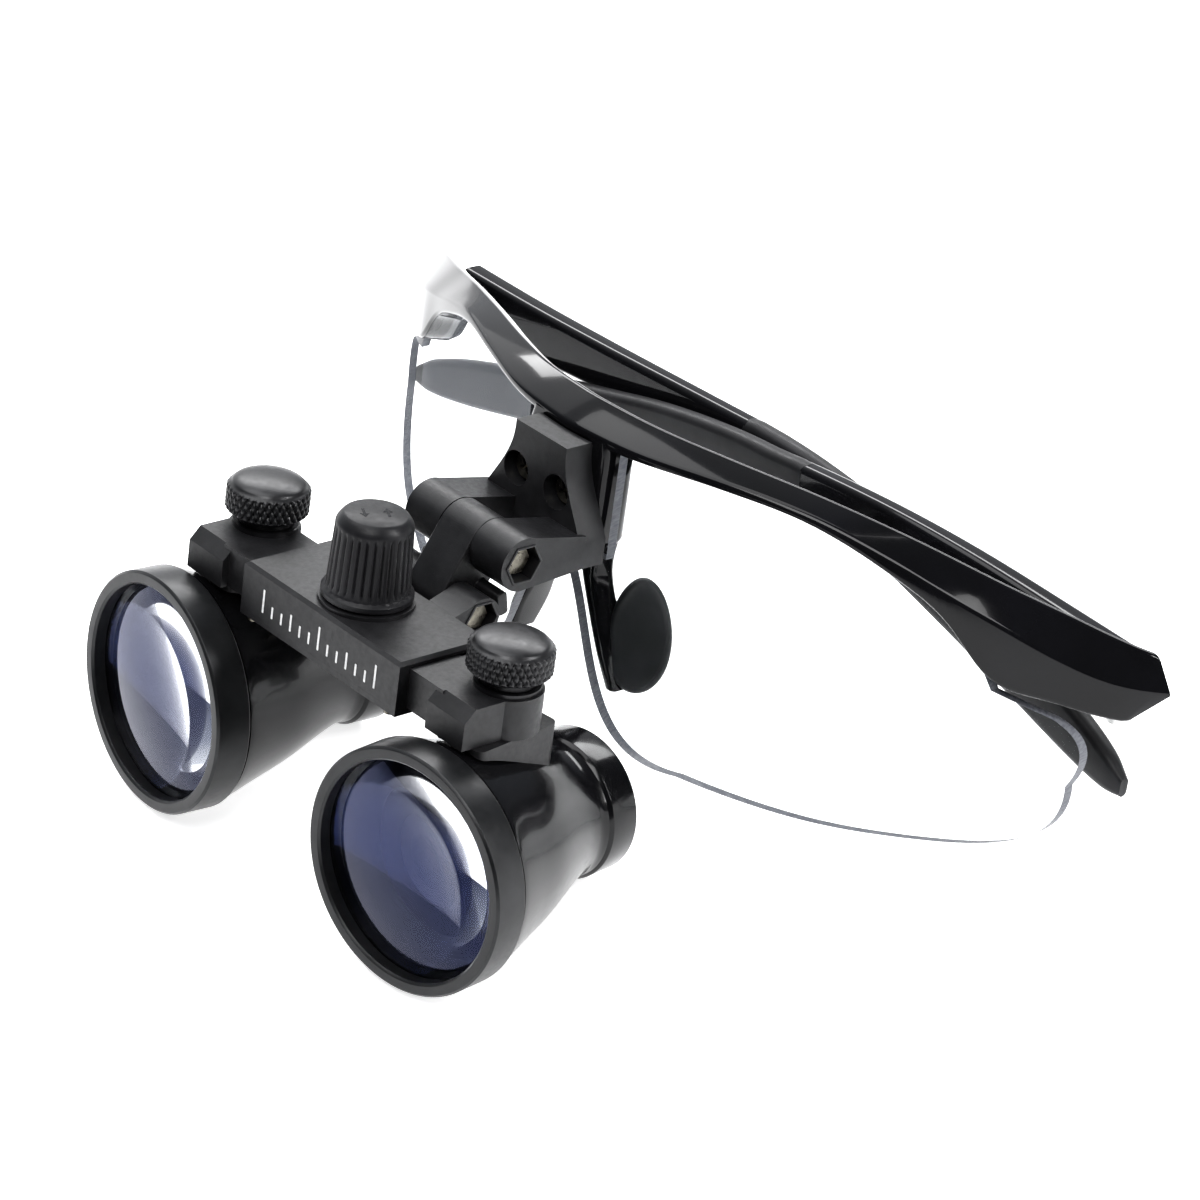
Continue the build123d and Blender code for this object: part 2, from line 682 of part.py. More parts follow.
for name, side in SIDES.items():
    with BuildPart() as slide_arm:
        if side > 0:
            outline = rack_outline()
        else:
            outline = [(-x, 2 * knob_y - y) for x, y in rack_outline()]
        with BuildSketch(Plane.XY.offset(arm_low)):
            with BuildLine():
                Polyline(outline, close=True)
            make_face()
        extrude(amount=arm_top - arm_low)
        # Arm outside the beam, then the end block with its chamfered nose
        with BuildSketch(Plane.YZ.offset(side * (beam_half + 0.3))):
            with Locations(((cavity_front + cavity_back) / 2, (arm_top + block_low) / 2)):
                Rectangle(cavity_back - cavity_front - 0.12, arm_top - block_low)
        extrude(amount=side * 6)
        with BuildSketch(Plane.YZ.offset(side * 20.4)):
            with BuildLine():
                Polyline((0.55, block_low), (0.55, -2.6), (2.1, arm_top), (swivel_y, arm_top), (swivel_y, block_low),
                         close=True)
            make_face()
        extrude(amount=side * (block_outer - 20.4))
        with BuildSketch(Plane.XY.offset(block_low)):
            with Locations((side * barrel_x, swivel_y)):
                Circle(4.6)
        extrude(amount=arm_top - block_low)
        with BuildSketch(Plane.XY.offset(block_low - 1)):
            with Locations((side * barrel_x, swivel_y)):
                Circle(clamp_radius)
        extrude(amount=10, mode=Mode.SUBTRACT)
    put(slide_arm, f"slide_arm_{name}")

    # Thumbscrew: threaded shank, collar, knurled head with a domed top
    with BuildPart() as thumbscrew:
        centre = (side * barrel_x, swivel_y, 0)
        with BuildSketch(Plane.XZ.offset(-swivel_y)):
            with BuildLine():
                Polyline(
                    (side * barrel_x, shank_end),
                    (side * barrel_x + 1.5, shank_end),
                    (side * barrel_x + 1.5, -0.36),
                    (side * barrel_x + 3.6, -0.36),
                    (side * barrel_x + 3.6, 1.0),
                    (side * barrel_x + 4.9, 1.0),
                    (side * barrel_x + 5.38, 1.5),
                    (side * barrel_x + 5.38, 4.2),
                    (side * barrel_x + 4.9, 4.7),
                )
                ThreePointArc(
                    (side * barrel_x + dome_radius, 4.7),
                    (side * barrel_x + dome_radius / 2, 4.7 + dome_rise - sag_at_half(dome_radius, dome_rise)),
                    (side * barrel_x, 4.7 + dome_rise),
                )
                Line((side * barrel_x, 4.7 + dome_rise), (side * barrel_x, shank_end))
            make_face()
        revolve(axis=Axis(centre, (0, 0, 1)))
        with BuildSketch(Plane.XY.offset(1.3)):
            with Locations((side * barrel_x, swivel_y)):
                with PolarLocations(5.55, 36):
                    Circle(0.3)
        extrude(amount=3.1, mode=Mode.SUBTRACT)
    put(thumbscrew, f"thumbscrew_{name}")

    with BuildPart() as clamp_washer:
        with BuildSketch(Plane.XY.offset(arm_top)):
            with Locations((side * barrel_x, swivel_y)):
                Circle(4.2)
                Circle(1.6, mode=Mode.SUBTRACT)
        extrude(amount=-0.38 - arm_top)
    put(clamp_washer, f"clamp_washer_{name}")

# ---- Barrels ----

objective_radius = 14.35
eyepiece_lens_radius = 8.3
stop_front, stop_back, stop_opening = 1.8, 1.2, 9.2
inner_front, inner_rear = (13.0, 8.9), (8.4, -8.4)


def inner_radius(along):
    """Radius of the shell's straight inner cone at a distance along the barrel."""
    slope = (inner_front[0] - inner_rear[0]) / (inner_front[1] - inner_rear[1])
    return inner_rear[0] + slope * (along - inner_rear[1])


def turned(section, axis, points):
    """Revolve a closed outline of (radius, forwards) points."""
    with BuildPart() as piece:
        with BuildSketch(section):
            with BuildLine():
                Polyline(points, close=True)
            make_face()
        revolve(axis=axis)
    return piece


def lens_element(section, axis, radius, front, front_sag, back, back_sag):
    """Round lens between two apexes; a positive sag falls towards the eyepiece at the rim."""
    with BuildPart() as element:
        with BuildSketch(section):
            with BuildLine():
                ThreePointArc(
                    (0, front), (radius / 2, front - sag_at_half(radius, front_sag)), (radius, front - front_sag)
                )
                Line((radius, front - front_sag), (radius, back - back_sag))
                ThreePointArc(
                    (radius, back - back_sag), (radius / 2, back - sag_at_half(radius, back_sag)), (0, back)
                )
                Line((0, back), (0, front))
            make_face()
        revolve(axis=axis)
    return element


for name, side in SIDES.items():
    angle = radians(side * outward[side])
    forwards = (sin(angle), -cos(angle), 0)
    sideways = (cos(angle), sin(angle), 0)
    pivot = (side * barrel_x, swivel_y, barrel_z)
    section = Plane(origin=pivot, x_dir=sideways, z_dir=(0, 0, -1))
    barrel_axis = Axis(pivot, forwards)

    put(turned(section, barrel_axis, [
        (objective_radius, bezel_back),
        (bezel_radius, bezel_back),
        (bezel_radius, bezel_front - 0.3),
        (bezel_radius - 0.3, bezel_front),
        (bezel_opening, bezel_front),
        (bezel_opening, 13.1),
        (objective_radius, 13.1),
    ]), f"front_bezel_{name}")

    with BuildPart() as barrel_shell:
        with BuildSketch(section):
            with BuildLine():
                Spline((15.45, bezel_back), (12.3, -0.8), (9.5, -8.4), (8.9, -11.0), (9.1, -12.2))
                Polyline(
                    (9.1, -12.2),
                    (eyepiece_radius, -12.7),
                    (eyepiece_radius, eyepiece_end),
                    (eyepiece_lens_radius, eyepiece_end),
                    (eyepiece_lens_radius, -14.2),
                    (7.5, -14.2),
                    (7.5, -11.0),
                    inner_rear,
                    inner_front,
                    (objective_radius, inner_front[1]),
                    (objective_radius, bezel_back),
                    (15.45, bezel_back),
                )
            make_face()
        revolve(axis=barrel_axis)
    put(barrel_shell, f"barrel_shell_{name}")

    # Front doublet: a convex crown cemented to a flint
    put(lens_element(section, barrel_axis, objective_radius, 14.9, 2.0, 9.0, -2.2), f"objective_crown_{name}")
    put(lens_element(section, barrel_axis, objective_radius, 9.0, -2.2, 7.5, -1.7), f"objective_flint_{name}")

    put(turned(section, barrel_axis, [
        (stop_opening, stop_front),
        (inner_radius(stop_front), stop_front),
        (inner_radius(stop_back), stop_back),
        (stop_opening, stop_back),
    ]), f"glare_stop_{name}")

    put(lens_element(section, barrel_axis, eyepiece_lens_radius, -15.0, -0.8, -15.7, 0.5), f"eyepiece_lens_{name}")
    put(turned(section, barrel_axis, [
        (7.3, -16.2),
        (eyepiece_lens_radius, -16.2),
        (eyepiece_lens_radius, eyepiece_end + 0.05),
        (7.3, eyepiece_end + 0.05),
    ]), f"eyepiece_ring_{name}")

    # Foot under the end block, cut to the barrel and bored for the thumbscrew
    with BuildPart() as outer_form:
        with BuildSketch(section):
            with BuildLine():
                Spline((15.45, bezel_back), (12.3, -0.8), (9.5, -8.4), (8.9, -11.0), (9.1, -12.2))
                Polyline((9.1, -12.2), (0, -12.2), (0, bezel_back), (15.45, bezel_back))
            make_face()
        revolve(axis=barrel_axis)
    foot_top = block_low - 0.05
    foot_plane = Plane(origin=(side * barrel_x, swivel_y, foot_top), x_dir=sideways, z_dir=(0, 0, 1))
    with BuildPart() as swivel_foot:
        with BuildSketch(foot_plane):
            with Locations((0, -0.9)):
                RectangleRounded(7.6, 14.0, 1.2)
        extrude(amount=-6.5)
        add(outer_form.part, mode=Mode.SUBTRACT)
        with BuildSketch(foot_plane):
            Circle(1.55)
        extrude(amount=-4, mode=Mode.SUBTRACT)
    put(swivel_foot, f"swivel_foot_{name}")
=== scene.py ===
import json
from math import atan2, cos, pi, radians, sin, sqrt, tan

import bmesh
import bpy
from mathutils import Matrix, Vector


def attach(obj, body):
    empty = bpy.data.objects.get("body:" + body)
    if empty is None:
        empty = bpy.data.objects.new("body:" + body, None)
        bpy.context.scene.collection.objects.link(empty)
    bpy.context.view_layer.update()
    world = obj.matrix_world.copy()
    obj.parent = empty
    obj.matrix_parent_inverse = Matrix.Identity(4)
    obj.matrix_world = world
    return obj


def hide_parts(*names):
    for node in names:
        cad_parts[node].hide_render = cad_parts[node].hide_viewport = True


# Flip-up dental loupes on a sports frame. Pieces are made in the beam's own axes, in
# millimetres: x to the wearer's left, y towards the face, z up along the thumbscrews, and
# the origin in the middle of the beam's top front edge. MODEL stands them in the frame.

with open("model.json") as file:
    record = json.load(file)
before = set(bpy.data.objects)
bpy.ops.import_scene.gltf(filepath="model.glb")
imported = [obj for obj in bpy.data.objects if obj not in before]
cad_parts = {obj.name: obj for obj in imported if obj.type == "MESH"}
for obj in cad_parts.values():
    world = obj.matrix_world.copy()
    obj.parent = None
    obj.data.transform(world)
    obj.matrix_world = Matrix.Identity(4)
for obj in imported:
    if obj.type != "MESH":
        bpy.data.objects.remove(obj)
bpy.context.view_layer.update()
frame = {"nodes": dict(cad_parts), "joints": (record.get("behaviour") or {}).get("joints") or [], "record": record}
scene = bpy.context.scene
joints = {joint["name"]: joint for joint in frame["joints"]}

SIDES = {"left": 1, "right": -1}
MM = 0.001
knob_depth = 6.98          # the knob's shaft behind the beam's front edge

up_axis = Vector(joints["knob_turn"]["axis"])
across_axis = Vector((1, 0, 0))
back_axis = up_axis.cross(across_axis)
model_origin = Vector(joints["knob_turn"]["pos_m"]) - back_axis * knob_depth * MM
MODEL = Matrix.Translation(model_origin) @ Matrix((across_axis, back_axis, up_axis)).transposed().to_4x4()
MODEL = MODEL @ Matrix.Scale(MM, 4)


# ---------------------------------------------------------------- camera and lights

# The camera's place and the directions of its picture, in the beam's axes
camera_place = Vector((405.3, -348.4, 270.3))
camera_right = Vector((0.648, 0.752, 0.123))
camera_down = Vector((0.410, -0.208, -0.888))
focal_length = 147.46

# Rectangular lights: place and aim in metres, width, height, power in watts. Their names
# say left and right as the camera sees them.
aim_point = (0.0, 0.02, 0.02)
SOFTBOXES = {
    "overhead": ((-0.17, -0.06, 0.62), (-0.17, -0.06, 0.0), 0.54, 0.50, 3.0),
    "front_top": ((0.26, -0.26, 0.64), aim_point, 0.32, 0.30, 2.4),
    "left_wall": ((-0.80, 0.10, 0.40), aim_point, 0.6, 0.7, 0.8),
    "back_strip": ((-0.40, 0.60, 0.50), aim_point, 1.0, 0.20, 6.0),
    "right_strip": ((0.56, 0.34, 0.36), aim_point, 0.05, 0.42, 3.4),
}


def place_camera():
    """Camera above the wearer's left, looking down across the brow."""
    camera = bpy.data.objects.new("camera", bpy.data.cameras.new("camera"))
    camera.data.lens = focal_length
    camera.data.sensor_width = 36.0
    camera.data.clip_start = 0.01
    camera.data.clip_end = 20.0
    right = camera_right.normalized()
    down = (camera_down - right * camera_down.dot(right)).normalized()
    back = right.cross(-down)
    turn = Matrix((right, -down, back)).transposed()
    stand = MODEL.to_3x3().normalized()
    camera.matrix_world = Matrix.Translation(MODEL @ camera_place) @ (stand @ turn).to_4x4()
    scene.collection.objects.link(camera)
    scene.camera = camera


def softbox(name, place, target, width, height, power):
    """Rectangular studio light aimed at its target."""
    light = bpy.data.lights.new(name, "AREA")
    light.shape = "RECTANGLE"
    light.size, light.size_y = width, height
    light.energy = power
    lamp = bpy.data.objects.new(name, light)
    aim = Vector(target) - Vector(place)
    lamp.matrix_world = Matrix.Translation(place) @ aim.to_track_quat("-Z", "Y").to_matrix().to_4x4()
    scene.collection.objects.link(lamp)


def light_studio():
    """Softboxes round the table, and a surround that brightens upwards and to the back."""
    world = bpy.data.worlds.new("studio")
    world.use_nodes = True
    tree = world.node_tree
    where = tree.nodes.new("ShaderNodeTexCoord")
    tilt = tree.nodes.new("ShaderNodeVectorMath")
    tilt.operation = "DOT_PRODUCT"
    brightest = Vector((-0.62, 0.30, 0.42)).normalized()
    tilt.inputs[1].default_value = brightest
    tree.links.new(where.outputs["Generated"], tilt.inputs[0])
    ramp = tree.nodes.new("ShaderNodeValToRGB")
    ramp.color_ramp.elements[0].position = 0.18
    ramp.color_ramp.elements[0].color = (0.035, 0.037, 0.042, 1)
    ramp.color_ramp.elements[1].position = 1.0
    ramp.color_ramp.elements[1].color = (0.95, 0.97, 1.0, 1)
    halfway = ramp.color_ramp.elements.new(0.62)
    halfway.color = (0.22, 0.235, 0.26, 1)
    tree.links.new(tilt.outputs["Value"], ramp.inputs["Fac"])
    background = tree.nodes["Background"]
    tree.links.new(ramp.outputs["Color"], background.inputs["Color"])
    background.inputs["Strength"].default_value = 1.0
    scene.world = world
    for name, setting in SOFTBOXES.items():
        softbox(name, *setting)
    scene.view_settings.view_transform = "Standard"
    scene.view_settings.look = "Medium High Contrast"


# ---------------------------------------------------------------- materials

def new_material(name, sockets):
    """Principled material with constant values set on the shader's own sockets."""
    material = bpy.data.materials.new(name)
    material.use_nodes = True
    shader = material.node_tree.nodes["Principled BSDF"]
    for socket, value in sockets.items():
        shader.inputs[socket].default_value = value
    return material, material.node_tree, shader


def join(tree, source, output, target, socket):
    tree.links.new(source.outputs[output], target.inputs[socket])


def noise(tree, scale, detail=4.0, rough=0.55, stretch=None):
    """Noise in the object's own space, with its scale in waves per metre."""
    where = tree.nodes.new("ShaderNodeTexCoord")
    texture = tree.nodes.new("ShaderNodeTexNoise")
    texture.inputs["Scale"].default_value = scale
    texture.inputs["Detail"].default_value = detail
    texture.inputs["Roughness"].default_value = rough
    if stretch:
        mapping = tree.nodes.new("ShaderNodeMapping")
        mapping.inputs["Scale"].default_value = stretch
        join(tree, where, "Object", mapping, "Vector")
        join(tree, mapping, "Vector", texture, "Vector")
    else:
        join(tree, where, "Object", texture, "Vector")
    return texture


def vary_roughness(tree, shader, texture, low, high):
    span = tree.nodes.new("ShaderNodeMapRange")
    span.inputs["From Min"].default_value = 0.3
    span.inputs["From Max"].default_value = 0.7
    span.inputs["To Min"].default_value = low
    span.inputs["To Max"].default_value = high
    join(tree, texture, "Fac", span, "Value")
    join(tree, span, "Result", shader, "Roughness")


def vary_colour(tree, shader, texture, dark, light):
    ramp = tree.nodes.new("ShaderNodeValToRGB")
    ramp.color_ramp.elements[0].position = 0.35
    ramp.color_ramp.elements[0].color = (*dark, 1)
    ramp.color_ramp.elements[1].position = 0.68
    ramp.color_ramp.elements[1].color = (*light, 1)
    join(tree, texture, "Fac", ramp, "Fac")
    join(tree, ramp, "Color", shader, "Base Color")


def raise_bumps(tree, shader, texture, depth, strength=1.0, socket="Normal"):
    bump = tree.nodes.new("ShaderNodeBump")
    bump.inputs["Strength"].default_value = strength
    bump.inputs["Distance"].default_value = depth
    join(tree, texture, "Fac", bump, "Height")
    join(tree, bump, "Normal", shader, socket)


def gloss_plastic():
    """Polished black acetate: a deep coat over a barely uneven moulding."""
    material, tree, shader = new_material("gloss_black_plastic", {
        "Roughness": 0.09, "IOR": 1.26, "Coat Weight": 0.25, "Coat Roughness": 0.02, "Coat IOR": 1.4,
    })
    vary_colour(tree, shader, noise(tree, 60), (0.0045, 0.0045, 0.005), (0.007, 0.007, 0.0085))
    vary_roughness(tree, shader, noise(tree, 260), 0.07, 0.12)
    raise_bumps(tree, shader, noise(tree, 70, 1.5), 0.00002, 0.25)
    return material


def soft_rubber(name, dark, light, low, high):
    """Matte rubber with a fine grain and a soft sheen at glancing angles."""
    material, tree, shader = new_material(name, {"IOR": 1.3, "Sheen Weight": 0.03, "Sheen Roughness": 0.45})
    vary_colour(tree, shader, noise(tree, 140), dark, light)
    vary_roughness(tree, shader, noise(tree, 900), low, high)
    raise_bumps(tree, shader, noise(tree, 5200, 3), 0.00003, 0.35)
    return material


def moulded_plastic():
    """Black glass-filled nylon: matte, with the fine spark-eroded grain of its mould."""
    material, tree, shader = new_material("matte_black_nylon", {"IOR": 1.42})
    vary_colour(tree, shader, noise(tree, 420), (0.010, 0.010, 0.011), (0.016, 0.016, 0.0175))
    vary_roughness(tree, shader, noise(tree, 1500), 0.36, 0.5)
    raise_bumps(tree, shader, noise(tree, 6500, 2), 0.000035, 0.4)
    return material


def anodised(name, dark, light, low, high):
    """Black anodised metal with a faintly uneven shine."""
    material, tree, shader = new_material(name, {"Metallic": 0.35, "IOR": 1.5, "Specular IOR Level": 0.5})
    vary_colour(tree, shader, noise(tree, 300), dark, light)
    vary_roughness(tree, shader, noise(tree, 1100), low, high)
    return material


def gloss_paint():
    """Gloss black lacquer over the turned barrels."""
    material, tree, shader = new_material("gloss_black_lacquer", {
        "Roughness": 0.16, "IOR": 1.28, "Coat Weight": 0.2, "Coat Roughness": 0.03, "Coat IOR": 1.5,
    })
    vary_colour(tree, shader, noise(tree, 90), (0.0035, 0.0035, 0.004), (0.006, 0.006, 0.007))
    vary_roughness(tree, shader, noise(tree, 800), 0.13, 0.22)
    raise_bumps(tree, shader, noise(tree, 420, 2), 0.00002, 0.12, "Coat Normal")
    return material


def bare_metal(name, dark, light, low, high):
    """Unpainted metal with the drawn-out grain of its brushing."""
    material, tree, shader = new_material(name, {"Metallic": 1.0})
    vary_colour(tree, shader, noise(tree, 700), dark, light)
    vary_roughness(tree, shader, noise(tree, 1800), low, high)
    raise_bumps(tree, shader, noise(tree, 4200, 2, 0.5, (1, 0.15, 1)), 0.00002, 0.4)
    return material


def clear_plate():
    """Thin clear sheet: it hardly bends light, so only its reflections show."""
    material = bpy.data.materials.new("clear_polycarbonate")
    material.use_nodes = True
    tree = material.node_tree
    tree.nodes.clear()
    output = tree.nodes.new("ShaderNodeOutputMaterial")
    clear = tree.nodes.new("ShaderNodeBsdfTransparent")
    clear.inputs["Color"].default_value = (0.985, 0.99, 0.99, 1)
    gloss = tree.nodes.new("ShaderNodeBsdfGlossy")
    gloss.inputs["Color"].default_value = (0.9, 0.93, 1.0, 1)
    facing = tree.nodes.new("ShaderNodeFresnel")
    facing.inputs["IOR"].default_value = 1.12
    smears = noise(tree, 90, 3)
    span = tree.nodes.new("ShaderNodeMapRange")
    span.inputs["To Min"].default_value = 0.02
    span.inputs["To Max"].default_value = 0.07
    join(tree, smears, "Fac", span, "Value")
    join(tree, span, "Result", gloss, "Roughness")
    faint = tree.nodes.new("ShaderNodeMath")
    faint.operation = "MULTIPLY"
    faint.inputs[1].default_value = 0.06
    tree.links.new(facing.outputs["Fac"], faint.inputs[0])
    mix = tree.nodes.new("ShaderNodeMixShader")
    tree.links.new(faint.outputs["Value"], mix.inputs[0])
    tree.links.new(clear.outputs[0], mix.inputs[1])
    tree.links.new(gloss.outputs[0], mix.inputs[2])
    tree.links.new(mix.outputs[0], output.inputs["Surface"])
    return material


def plate_rim():
    """Milled rim of the clear sheet, where it gathers light into a pale grey line."""
    material, tree, shader = new_material("lens_rim", {"IOR": 1.3})
    vary_colour(tree, shader, noise(tree, 900, 2, 0.5, (1, 1, 6)), (0.10, 0.105, 0.12), (0.16, 0.165, 0.18))
    vary_roughness(tree, shader, noise(tree, 3000), 0.25, 0.45)
    return material


def coated_glass():
    """Objective glass: its coating turns head-on reflections blue, and glancing ones stay white."""
    material, tree, shader = new_material("coated_objective_glass", {
        "Base Color": (0.93, 0.95, 1.0, 1), "Transmission Weight": 1.0, "IOR": 1.62,
        "Specular IOR Level": 0.6, "Specular Tint": (0.10, 0.15, 0.50, 1),
    })
    vary_roughness(tree, shader, noise(tree, 120), 0.0, 0.003)
    return material


def inner_glass():
    """Eyepiece glass, coated faintly green."""
    material, tree, shader = new_material("eyepiece_glass", {
        "Base Color": (0.96, 0.98, 0.97, 1), "Transmission Weight": 1.0, "IOR": 1.5,
        "Specular Tint": (0.5, 0.9, 0.7, 1),
    })
    vary_roughness(tree, shader, noise(tree, 120), 0.0, 0.003)
    return material


def baffle_black():
    """Flat black lining inside the barrels."""
    material, tree, shader = new_material("flat_black_lining", {"IOR": 1.3})
    vary_colour(tree, shader, noise(tree, 900), (0.004, 0.004, 0.004), (0.009, 0.009, 0.009))
    vary_roughness(tree, shader, noise(tree, 2500), 0.6, 0.8)
    raise_bumps(tree, shader, noise(tree, 5000), 0.00004, 0.5)
    return material


def floor_paper():
    """Plain white paper that also glows, so that it stays white away from the lights."""
    material, tree, shader = new_material("floor_paper", {
        "Specular IOR Level": 0.0, "Emission Color": (1.0, 1.0, 1.0, 1), "Emission Strength": 0.62,
    })
    vary_colour(tree, shader, noise(tree, 3), (0.88, 0.88, 0.885), (0.9, 0.9, 0.905))
    vary_roughness(tree, shader, noise(tree, 200), 0.85, 0.95)
    return material


def printed_white():
    """White pad-printed ink with slightly starved edges."""
    material, tree, shader = new_material("white_print", {})
    vary_colour(tree, shader, noise(tree, 2600, 3), (0.6, 0.6, 0.6), (0.78, 0.78, 0.78))
    vary_roughness(tree, shader, noise(tree, 3000), 0.5, 0.7)
    return material


FINISH = {
    "gloss_frame": gloss_plastic(),
    "clear_lens": clear_plate(),
    "lens_rim": plate_rim(),
    "pad_rubber": soft_rubber("nose_pad_rubber", (0.013, 0.014, 0.015), (0.021, 0.022, 0.024), 0.4, 0.55),
    "sock_rubber": soft_rubber("ear_sock_rubber", (0.012, 0.012, 0.013), (0.020, 0.020, 0.022), 0.34, 0.48),
    "steel": bare_metal("brushed_steel", (0.42, 0.42, 0.42), (0.58, 0.58, 0.57), 0.24, 0.4),
    "matte_black": moulded_plastic(),
    "zinc": bare_metal("zinc_plate", (0.10, 0.095, 0.08), (0.24, 0.225, 0.19), 0.24, 0.42),
    "knob_plastic": soft_rubber("knob_plastic", (0.009, 0.009, 0.010), (0.015, 0.015, 0.017), 0.34, 0.46),
    "brass": bare_metal("brass", (0.55, 0.38, 0.12), (0.72, 0.53, 0.22), 0.2, 0.35),
    "black_metal": anodised("black_anodised", (0.011, 0.011, 0.012), (0.018, 0.018, 0.020), 0.28, 0.4),
    "satin_bezel": anodised("satin_anodised", (0.010, 0.0105, 0.0115), (0.016, 0.0165, 0.018), 0.3, 0.38),
    "gloss_barrel": gloss_paint(),
    "coated_glass": coated_glass(),
    "flint_glass": inner_glass(),
    "lining": baffle_black(),
    "print": printed_white(),
    "floor": floor_paper(),
}


# ---------------------------------------------------------------- mesh helpers

def link_mesh(name, mesh, smooth_limit=32.0):
    """Clean a mesh, keep edges above the limit crisp, and link it as an object."""
    work = bmesh.new()
    work.from_mesh(mesh)
    bmesh.ops.remove_doubles(work, verts=work.verts, dist=2e-6)
    bmesh.ops.dissolve_degenerate(work, edges=work.edges, dist=1e-7)
    bmesh.ops.recalc_face_normals(work, faces=work.faces)
    for face in work.faces:
        face.smooth = True
    for edge in work.edges:
        edge.smooth = not (edge.is_manifold and edge.calc_face_angle() > radians(smooth_limit))
    work.to_mesh(mesh)
    work.free()
    piece = bpy.data.objects.new(name, mesh)
    scene.collection.objects.link(piece)
    return piece


def settle(piece, body, finish, nodes=()):
    """Give a piece its finish, its body, and the CAD nodes it stands for."""
    piece.data.materials.append(FINISH[finish])
    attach(piece, body)
    if nodes:
        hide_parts(*nodes)
    return piece


def make(name, points, faces, smooth_limit=32.0):
    """Object from points in millimetres in the beam's axes."""
    mesh = bpy.data.meshes.new(name)
    mesh.from_pydata([MODEL @ Vector(point) for point in points], [], faces)
    return link_mesh(name, mesh, smooth_limit)


def rounded(corners, closed=True, steps=4):
    """Outline through (x, y, radius) corners, each one rounded by an arc."""
    outline = []
    last = len(corners) - 1
    for index, (x, y, radius) in enumerate(corners):
        here = Vector((x, y))
        if radius <= 0 or (not closed and index in (0, last)):
            outline.append((x, y))
            continue
        before = Vector(corners[index - 1][:2]) - here
        after = Vector(corners[(index + 1) % len(corners)][:2]) - here
        half = before.angle(after) / 2
        reach = min(radius / tan(half), 0.48 * before.length, 0.48 * after.length)
        centre = here + (before.normalized() + after.normalized()).normalized() * reach / cos(half)
        start = here + before.normalized() * reach - centre
        end = here + after.normalized() * reach - centre
        first = atan2(start.y, start.x)
        sweep = (atan2(end.y, end.x) - first + pi) % (2 * pi) - pi
        for step in range(steps + 1):
            angle = first + sweep * step / steps
            outline.append((centre.x + start.length * cos(angle), centre.y + start.length * sin(angle)))
    return outline


def lofted(name, rings, smooth_limit=32.0):
    """Closed skin over rings of points, with a face over each end."""
    size = len(rings[0])
    points = [point for ring in rings for point in ring]
    faces = []
    for row in range(len(rings) - 1):
        here, there = row * size, (row + 1) * size
        for k in range(size):
            after = (k + 1) % size
            faces.append((here + k, here + after, there + after, there + k))
    faces.append(tuple(range(size)))
    faces.append(tuple(range((len(rings) - 1) * size, len(rings) * size)))
    return make(name, points, faces, smooth_limit)


def turned(name, profile, origin, axis, side_axis, steps=128, closed=True, smooth_limit=28.0):
    """Revolve a (radius, along) profile about an axis through the origin."""
    origin, axis = Vector(origin), Vector(axis).normalized()
    side_axis = Vector(side_axis).normalized()
    third = axis.cross(side_axis)
    size = len(profile)
    points = []
    for step in range(steps):
        angle = 2 * pi * step / steps
        out = side_axis * cos(angle) + third * sin(angle)
        points += [origin + axis * along + out * radius for radius, along in profile]
    faces = []
    for step in range(steps):
        here, there = step * size, (step + 1) % steps * size
        for k in range(size if closed else size - 1):
            after = (k + 1) % size
            if profile[k][0] > 1e-6 or profile[after][0] > 1e-6:
                faces.append((here + k, here + after, there + after, there + k))
    return make(name, points, faces, smooth_limit)


def softened(name, node, width=0.12, segments=2, smooth_limit=30.0, limit=30.0):
    """A copy of a CAD node with its edges rounded, for moulded and machined parts."""
    work = bmesh.new()
    work.from_mesh(frame["nodes"][node].data)
    bmesh.ops.remove_doubles(work, verts=work.verts, dist=2e-6)
    bmesh.ops.dissolve_limit(work, angle_limit=radians(0.6), verts=work.verts, edges=work.edges)
    mesh = bpy.data.meshes.new(name)
    work.to_mesh(mesh)
    work.free()
    piece = link_mesh(name, mesh, smooth_limit)
    bevel = piece.modifiers.new("rounding", "BEVEL")
    bevel.width = width * MM
    bevel.segments = segments
    bevel.limit_method = "ANGLE"
    bevel.angle_limit = radians(limit)
    bevel.use_clamp_overlap = True
    bevel.harden_normals = False
    return piece


def through(table, place):
    """Smooth values through a table whose rows start with their place, by Hermite spans."""
    if place <= table[0][0]:
        return table[0][1:]
    if place >= table[-1][0]:
        return table[-1][1:]
    span = max(i for i in range(len(table) - 1) if table[i][0] <= place)
    low, high = table[span], table[span + 1]
    width = high[0] - low[0]
    t = (place - low[0]) / width
    values = []
    for k in range(1, len(low)):
        slopes = []
        for i in (span, span + 1):
            left, right = table[max(i - 1, 0)], table[min(i + 1, len(table) - 1)]
            slopes.append((right[k] - left[k]) / (right[0] - left[0]))
        a, b = low[k], high[k]
        values.append(
            (2 * t ** 3 - 3 * t ** 2 + 1) * a + (t ** 3 - 2 * t ** 2 + t) * width * slopes[0]
            + (3 * t ** 2 - 2 * t ** 3) * b + (t ** 3 - t ** 2) * width * slopes[1]
        )
    return values


# ---------------------------------------------------------------- spectacle frame

